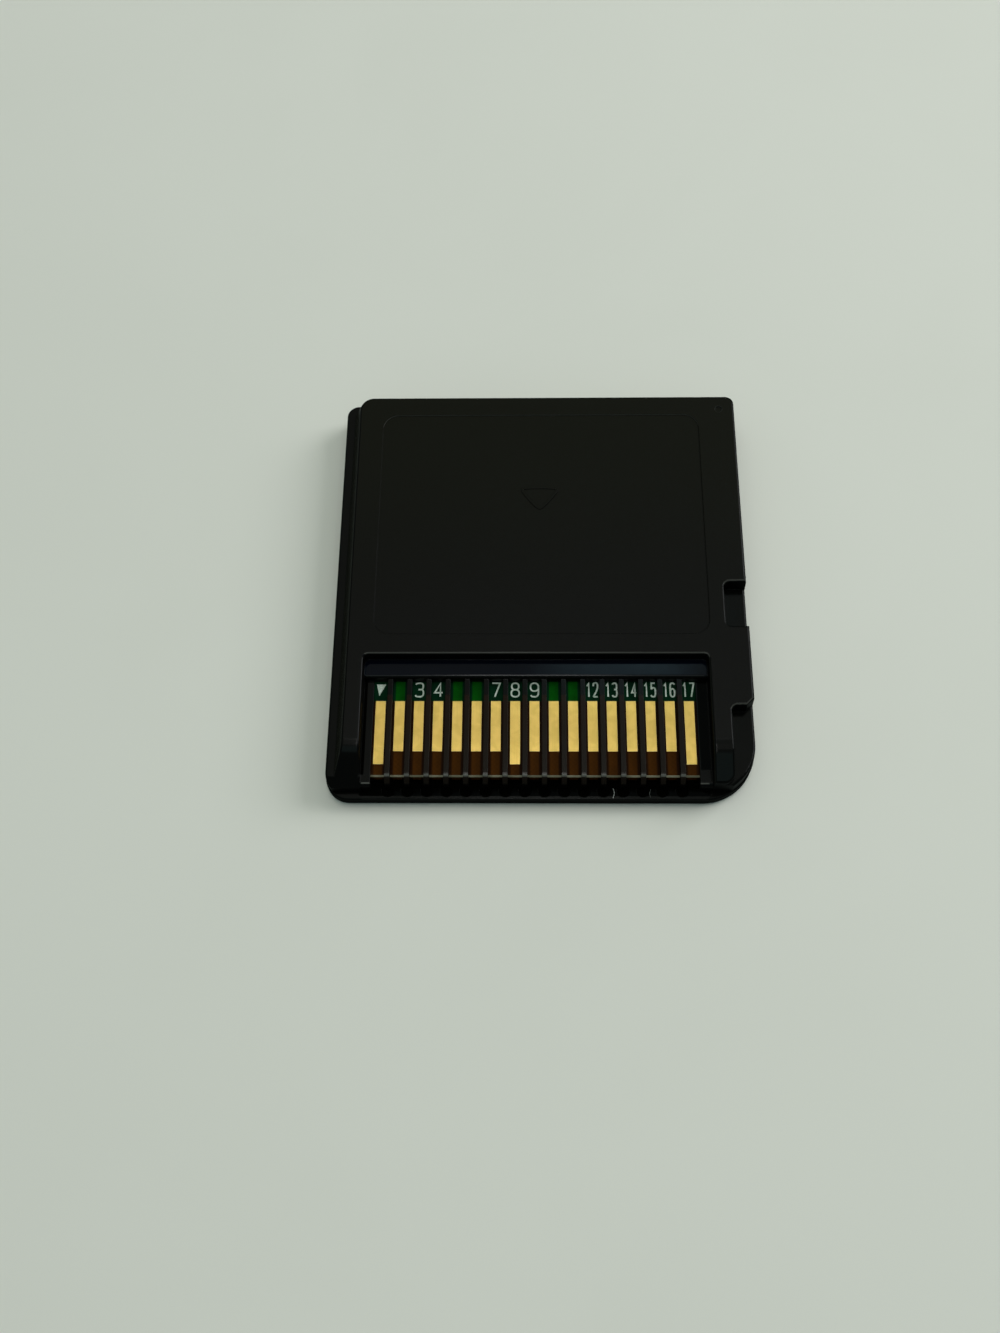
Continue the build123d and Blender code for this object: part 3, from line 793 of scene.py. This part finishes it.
def stroke_grid(path, width, height, closed):
    """Grid of points: at each path point, a trapezium of the given size across the mitred direction."""
    ahead = np.roll(path, -1, axis=0) - path
    behind = path - np.roll(path, 1, axis=0)
    if not closed:
        ahead[-1], behind[0] = behind[-1], ahead[0]
    ahead = unit(ahead)
    both = ahead + unit(behind)
    side = unit(np.stack([-both[:, 1], both[:, 0]], axis=1))
    across = np.stack([-ahead[:, 1], ahead[:, 0]], axis=1)
    side /= np.maximum((side * across).sum(axis=1, keepdims=True), sharpest_mitre)
    offsets = np.array([-0.5, -0.5 * shoulder, 0.5 * shoulder, 0.5]) * width
    rises = np.array([0.0, 1.0, 1.0, 0.0]) * height
    flat = path[:, None, :] + side[:, None, :] * offsets[None, :, None]
    lifted = np.broadcast_to(rises[None, :, None], flat.shape[:2] + (1,))
    return np.concatenate([flat, lifted], axis=2)


def grid_faces(rows, columns, closed):
    """Quads between neighbouring rows of a grid whose columns run round, with end caps where it is open."""
    row = np.arange(rows if closed else rows - 1)[:, None] * columns
    following = (row + columns) % (rows * columns)
    column = np.arange(columns)[None, :]
    beside = (column + 1) % columns
    corners = [row + column, row + beside, following + beside, following + column]
    quads = np.stack(np.broadcast_arrays(*corners), axis=-1).reshape(-1, 4).tolist()
    if closed:
        return quads
    first_cap = list(range(columns))[::-1]
    last_cap = list(range((rows - 1) * columns, rows * columns))
    return quads + [first_cap, last_cap]


print("stroke helpers ready")

# %% Draw the digits
digit_strokes = {
    "1": [([(0.15, 0.78), (0.55, 1.0), (0.55, 0.0)], 0, False)],
    "2": [([(0.0, 0.78), (0.02, 1.0), (1.0, 1.05), (0.98, 0.55), (0.0, 0.0)], 3, False),
          ([(0.0, 0.0), (1.0, 0.0)], 0, False)],
    "3": [([(0.0, 0.9), (0.15, 1.0), (0.95, 1.0), (0.95, 0.53), (0.35, 0.53)], 3, False),
          ([(0.35, 0.53), (1.0, 0.53), (1.0, 0.0), (0.1, 0.0), (0.0, 0.12)], 3, False)],
    "4": [([(0.72, 0.0), (0.72, 1.0), (0.0, 0.3), (1.0, 0.3)], 0, False)],
    "5": [([(0.92, 1.0), (0.1, 1.0), (0.06, 0.55)], 0, False),
          ([(0.06, 0.55), (0.3, 0.66), (1.0, 0.66), (1.0, 0.0), (0.1, 0.0), (0.0, 0.12)], 3, False)],
    "6": [([(0.0, 0.0), (1.0, 0.0), (1.0, 0.58), (0.0, 0.58)], 3, True),
          ([(0.0, 0.3), (0.0, 1.0), (0.85, 1.0), (0.95, 0.88)], 3, False)],
    "7": [([(0.0, 1.0), (1.0, 1.0), (0.35, 0.0)], 0, False)],
    "8": [([(0.06, 0.52), (0.94, 0.52), (0.94, 1.0), (0.06, 1.0)], 3, True),
          ([(0.0, 0.0), (1.0, 0.0), (1.0, 0.52), (0.0, 0.52)], 3, True)],
    "9": [([(0.0, 0.42), (1.0, 0.42), (1.0, 1.0), (0.0, 1.0)], 3, True),
          ([(1.0, 0.7), (1.0, 0.0), (0.15, 0.0), (0.05, 0.12)], 3, False)],
}
digit_height = 1.15 * mm
single_width = 0.62 * mm
double_width = 0.34 * mm
double_gap = 0.2 * mm


def number_strokes(number, middle_x, middle_y):
    """Paths of a number's strokes, its digits side by side about the given middle."""
    digits = str(number)
    width = single_width if len(digits) == 1 else double_width
    spread = width + double_gap
    for place, digit in enumerate(digits):
        left = middle_x + (place - (len(digits) - 1) / 2) * spread - width / 2
        for points, passes, closed in digit_strokes[digit]:
            path = cut_corners(points, passes, closed) * (width, digit_height)
            yield path + (left, middle_y - digit_height / 2), closed


print("digits drawn:", len(digit_strokes))

# %% Make meshes from grids
layer_step = 0.0005 * mm


def mesh_piece(name, points, faces, material):
    """A mesh object at the origin whose faces point outwards."""
    mesh = bpy.data.meshes.new(name)
    mesh.from_pydata(points, [], faces)
    mesh.materials.append(material)
    shape = bmesh.new()
    shape.from_mesh(mesh)
    bmesh.ops.recalc_face_normals(shape, faces=shape.faces)
    shape.to_mesh(mesh)
    shape.free()
    piece = bpy.data.objects.new(name, mesh)
    bpy.context.scene.collection.objects.link(piece)
    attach(piece, "root")
    return piece


def join_grids(grids):
    """Points and faces of many grids, each given with whether it is closed, as one mesh."""
    points, faces = [], []
    for grid, closed in grids:
        rows, columns = grid.shape[:2]
        faces += [[corner + len(points) for corner in face] for face in grid_faces(rows, columns, closed)]
        points += grid.reshape(-1, 3).tolist()
    return points, faces


def stroke_mesh(strokes, width, height, base):
    """Points and faces of many strokes, each a hair higher than the one before, so that none coincide."""
    grids = []
    for layer, (path, closed) in enumerate(strokes):
        lift = (0.0, 0.0, base + layer * layer_step)
        grids.append((stroke_grid(path, width, height, closed) + lift, closed))
    return join_grids(grids)


print("mesh helpers ready")

# %% Lay the ink on the mask
ink_width = 0.13 * mm
ink_height = 0.012 * mm
print_behind_pads = 0.95 * mm
print_y = pad_back + print_behind_pads


def make_ink():
    """White print: an uneven, slightly thin layer."""
    material, tree, shader = new_material("print_white", {"Specular IOR Level": 0.3})
    film = place_group(tree, film_group, blotch_size=0.25 * mm)["Mask"]
    white = mix_colour(tree, film, (0.72, 0.76, 0.70, 1), (0.45, 0.54, 0.44, 1))
    feed(tree, shader.inputs["Base Color"], white)
    feed(tree, shader.inputs["Roughness"], calc(tree, "MULTIPLY_ADD", film, 0.2, 0.5))
    return material


numbered = [slot for slot in range(2, len(pad_names) + 1) if slot not in copper_slots]
strokes = [stroke for slot in numbered for stroke in number_strokes(slot, pad_x[slot - 1], print_y)]
ink_points, ink_faces = stroke_mesh(strokes, ink_width, ink_height, mask_high.z)
print_white = make_ink()
pin_numbers = mesh_piece("pin_numbers", ink_points, ink_faces, print_white)
print("pins numbered:", numbered, "faces:", len(pin_numbers.data.polygons))

# %% Mark the first pin
def prism(outline, base, height):
    """Points and faces of an upright prism: the outline at two heights, with its sides and both ends."""
    count = len(outline)
    levels = np.repeat([base, base + height], count)[:, None]
    points = np.hstack([np.vstack([outline, outline]), levels])
    index = np.arange(count)
    after = (index + 1) % count
    sides = np.stack([index, after, after + count, index + count], axis=1).tolist()
    return points.tolist(), sides + [index.tolist()[::-1], (index + count).tolist()]


triangle_half = 0.37 * mm
triangle_tip = 0.52 * mm
triangle_top = 0.46 * mm
tip_shift = -0.14 * mm
triangle = [(tip_shift, -triangle_tip), (triangle_half, triangle_top), (-triangle_half, triangle_top)]
first_outline = np.array(triangle) + (pad_x[0], print_y)
pin_triangle = mesh_piece("first_pin_mark", *prism(first_outline, mask_high.z, ink_height), print_white)
print("first pin mark:", len(pin_triangle.data.polygons), "faces")

# %% [markdown]
# ## Insertion mark on the panel
#
# The wide panel behind the window is plain but for one moulded mark: a low triangle that points to the
# edge that goes into the slot first. It is the same stroke as the print, at a larger size, in the shell's
# own plastic.

# %% Mould the insertion mark
def trim_corners(corners, share):
    """Closed path through two points on each side, at the given share from its ends: sides stay straight."""
    starts = np.asarray(corners, float)
    ends = np.roll(starts, -1, axis=0)
    pairs = [starts + share * (ends - starts), ends + share * (starts - ends)]
    return np.stack(pairs, axis=1).reshape(-1, 2)


mark_half = 1.7 * mm
mark_length = 2.2 * mm
mark_width = 0.26 * mm
mark_height = 0.05 * mm
mark_y = 7.4 * mm
corner_trim = 0.12
corner_passes = 3
mark_middle = (rear_low.x / 2 + rear_high.x / 2, mark_y)
mark_corners = [(-mark_half, mark_length / 2), (mark_half, mark_length / 2), (0.0, -mark_length / 2)]
mark_path = cut_corners(trim_corners(mark_corners, corner_trim), corner_passes, True) + mark_middle
mark_points, mark_faces = stroke_mesh([(mark_path, True)], mark_width, mark_height, panel_floor)
insertion_mark = mesh_piece("insertion_mark", mark_points, mark_faces, shell_plastic)
print("insertion mark:", len(insertion_mark.data.polygons), "faces")

# %% [markdown]
# ## Lint on the lip
#
# A card that lives in pockets gathers lint, and the teeth of the lip comb it out: one pale, knotted thread
# lies on a tooth and a finer one beside it. Each is a tube. Its path sways by a sine, and its radius is a
# base radius with a bell curve added at every knot, so a few numbers make something that looks accidental.

# %% Spin the lint
thread_steps = 40
thread_sides = 8
knot_width = 0.06
knot_growth = 1.2
blunt_end = 0.02
sway_reach = 0.05 * mm
sway_turn = 5.0


def tube_grid(path, radii, sides):
    """Grid of points: round each path point, a circle of its radius in the plane across the path."""
    along = unit(np.gradient(path, axis=0))
    level = unit(np.cross(along, (0.0, 0.0, 1.0)))
    steep = np.cross(along, level)
    angle = np.linspace(0, 2 * np.pi, sides, endpoint=False)[None, :, None]
    circle = np.cos(angle) * level[:, None, :] + np.sin(angle) * steep[:, None, :]
    return path[:, None, :] + radii[:, None, None] * circle


def lint_thread(start_x, from_lip, length, radius, knots):
    """Tube that runs forward over the lip, swaying by a sine, with a bell-shaped swelling at each knot."""
    share = np.linspace(0, 1, thread_steps)
    swelling = sum(np.exp(-((share - knot) / knot_width) ** 2) for knot in knots)
    taper = np.sqrt(np.sin(np.pi * (blunt_end + (1 - 2 * blunt_end) * share)))
    radii = radius * (1.0 + knot_growth * swelling) * taper
    sway = sway_reach * np.sin(sway_turn * share + start_x / mm)
    ahead = lip_back + from_lip - length * share
    path = np.stack([start_x + sway, ahead, rear_low.z + radii], axis=1)
    return tube_grid(path, radii, thread_sides)


print("lint helpers ready")

# %% Lay the lint
def make_lint():
    """Pale dull fibre, a little uneven."""
    material, tree, shader = new_material("lint_pale", {"Specular IOR Level": 0.1, "Roughness": 0.9})
    film = place_group(tree, film_group, blotch_size=0.1 * mm)["Mask"]
    fibre = mix_colour(tree, film, (0.46, 0.47, 0.45, 1), (0.16, 0.17, 0.16, 1))
    feed(tree, shader.inputs["Base Color"], fibre)
    return material


threads = [
    lint_thread(
        pad_x[12] + 0.02 * mm, from_lip=0.72 * mm, length=0.80 * mm, radius=0.022 * mm,
        knots=(0.12, 0.7, 0.95)),
    lint_thread(
        pad_x[14] - 0.19 * mm, from_lip=0.66 * mm, length=0.74 * mm, radius=0.007 * mm,
        knots=(0.4,)),
]
lint_points, lint_faces = join_grids([(grid, False) for grid in threads])
lint = mesh_piece("lint_threads", lint_points, lint_faces, make_lint())
print("lint threads:", len(threads), "faces:", len(lint.data.polygons))

# %% [markdown]
# ## Floor
#
# A card on a table needs little: one wide pale sheet. It is a disc on a polar grid, so its edge is far
# away and round from every side. A faint mottling keeps it from looking computed. At a glancing angle even
# black plastic mirrors a white floor, and its walls would turn grey. The Light Path node tells such
# mirrored rays apart, and they find the paper dimmer, as in a darker room.

# %% Lay the floor
def polar_disc(radius, rings, sectors):
    """Points r(cos a, sin a): r grows with the square of the ring, so the grid is finest under the card."""
    reach = radius * np.linspace(0, 1, rings + 1)[1:] ** 2
    angle = np.linspace(0, 2 * np.pi, sectors, endpoint=False)
    ring_points = np.stack([np.outer(reach, np.cos(angle)), np.outer(reach, np.sin(angle))], axis=-1)
    flat = np.vstack([[(0.0, 0.0)], ring_points.reshape(-1, 2)])
    ring, sector = np.meshgrid(np.arange(rings - 1), np.arange(sectors), indexing="ij")
    inner = 1 + ring * sectors + sector
    beside = 1 + ring * sectors + (sector + 1) % sectors
    quads = np.stack([inner, inner + sectors, beside + sectors, beside], axis=-1).reshape(-1, 4)
    first = 1 + np.arange(sectors)
    hub = np.stack([np.zeros_like(first), first, np.roll(first, -1)], axis=1)
    return np.hstack([flat, np.zeros((len(flat), 1))]), hub.tolist() + quads.tolist()


def make_floor_paper():
    """Pale matte paper, a touch warm, with a faint mottling, dimmer to mirrored rays."""
    material, tree, shader = new_material("floor_paper", {"Specular IOR Level": 0.1, "Roughness": 0.8})
    film = place_group(tree, film_group, blotch_size=30 * mm)["Mask"]
    paper = mix_colour(tree, film, (0.802, 0.792, 0.724, 1), (0.789, 0.779, 0.711, 1))
    mirrored = add_node(tree, "ShaderNodeLightPath").outputs["Is Glossy Ray"]
    feed(tree, shader.inputs["Base Color"], mix_colour(tree, mirrored, paper, (0.22, 0.24, 0.22, 1)))
    return material


floor_gap = 0.01 * mm
floor_points, floor_faces = polar_disc(radius=1.6, rings=24, sectors=96)
floor_mesh = bpy.data.meshes.new("floor")
floor_mesh.from_pydata(floor_points - (0.0, 0.0, floor_gap), [], floor_faces)
floor_mesh.materials.append(make_floor_paper())
floor = bpy.data.objects.new("floor", floor_mesh)
bpy.context.scene.collection.objects.link(floor)
print("floor faces:", len(floor_mesh.polygons))

# %% [markdown]
# ## Light
#
# Black plastic and gold show what they mirror, so the lights are placed by asking what each face sees.
# From this camera every level face sees the same patch of sky behind the card, so one large soft panel
# there sets the grey of the plastic and the glow of the gold. A small bright lamp overhead is seen only by
# rounded edges and noses. A weak teal panel in front is what the slopes of the noses mirror. A narrow cool
# strip glances off the polished ledge, and a side light lays the soft shadow on the left.

# %% Set the lights
def add_panel(name, place, width, height, radiance, colour):
    """A soft rectangular light that faces the card: its power is its radiance times pi times its area."""
    lamp = bpy.data.lights.new(name, "AREA")
    lamp.shape = "RECTANGLE"
    lamp.size = width
    lamp.size_y = height
    lamp.energy = radiance * math.pi * width * height
    lamp.color = colour
    panel = bpy.data.objects.new(name, lamp)
    panel.location = place
    panel.rotation_euler = Vector(place).to_track_quat("Z", "Y").to_euler()
    bpy.context.scene.collection.objects.link(panel)
    return panel


panels = [
    add_panel(
        "sky_panel", (-0.05, 0.36, 0.72),
        width=0.9, height=0.9, radiance=0.50, colour=(0.98, 1.0, 0.86)),
    add_panel(
        "overhead_lamp", (0.0, 0.03, 0.6),
        width=0.08, height=0.23, radiance=9.0, colour=(1.0, 0.99, 0.95)),
    add_panel(
        "front_fill", (0.0, -0.23, 0.66),
        width=0.6, height=0.25, radiance=0.62, colour=(0.62, 0.95, 0.92)),
    add_panel(
        "side_light", (0.4, 0.2, 0.3),
        width=0.3, height=0.3, radiance=4.7, colour=(0.96, 0.99, 1.0)),
    add_panel(
        "ledge_strip", (0.045, 0.240, 0.549),
        width=0.07, height=0.028, radiance=3.5, colour=(0.45, 0.85, 1.0)),
]
world = bpy.data.worlds.new("even_world")
world.use_nodes = True
background = world.node_tree.nodes["Background"]
background.inputs["Color"].default_value = (0.82, 1.0, 1.0, 1.0)
background.inputs["Strength"].default_value = 0.2
bpy.context.scene.world = world
bpy.context.scene.view_settings.view_transform = "Standard"
print("lights:", [panel.name for panel in panels])

# %% [markdown]
# ## Camera
#
# The camera looks down on the contact edge from close by, a little from the right and rolled a few
# degrees. Its turn, height and distance were found by matching the card's corners to the photograph.

# %% Place the camera
camera_turn = math.radians(3.13)
camera_height = math.radians(66.4)
camera_roll = math.radians(-2.89)
camera_distance = 109.3 * mm
camera_slide = -3.22 * mm
camera_lift = -6.17 * mm
lens_length = 36.5
aim = np.array([0.0, 0.0, 1.9 * mm])

away = np.array([
    math.sin(camera_turn) * math.cos(camera_height),
    -math.cos(camera_turn) * math.cos(camera_height),
    math.sin(camera_height),
])
level = np.array([math.cos(camera_turn), math.sin(camera_turn), 0.0])
rise = np.cross(away, level)
across = math.cos(camera_roll) * level + math.sin(camera_roll) * rise
upward = math.cos(camera_roll) * rise - math.sin(camera_roll) * level
stand = aim + camera_distance * away + camera_slide * across + camera_lift * upward
camera_data = bpy.data.cameras.new("camera")
camera_data.lens = lens_length
camera_data.clip_start = mm
camera = bpy.data.objects.new("camera", camera_data)
turn = Matrix((across, upward, away)).transposed().to_4x4()
camera.matrix_world = Matrix.Translation(stand) @ turn
bpy.context.scene.collection.objects.link(camera)
bpy.context.scene.camera = camera
print("camera in mm:", [round(value / mm, 1) for value in camera.matrix_world.translation])
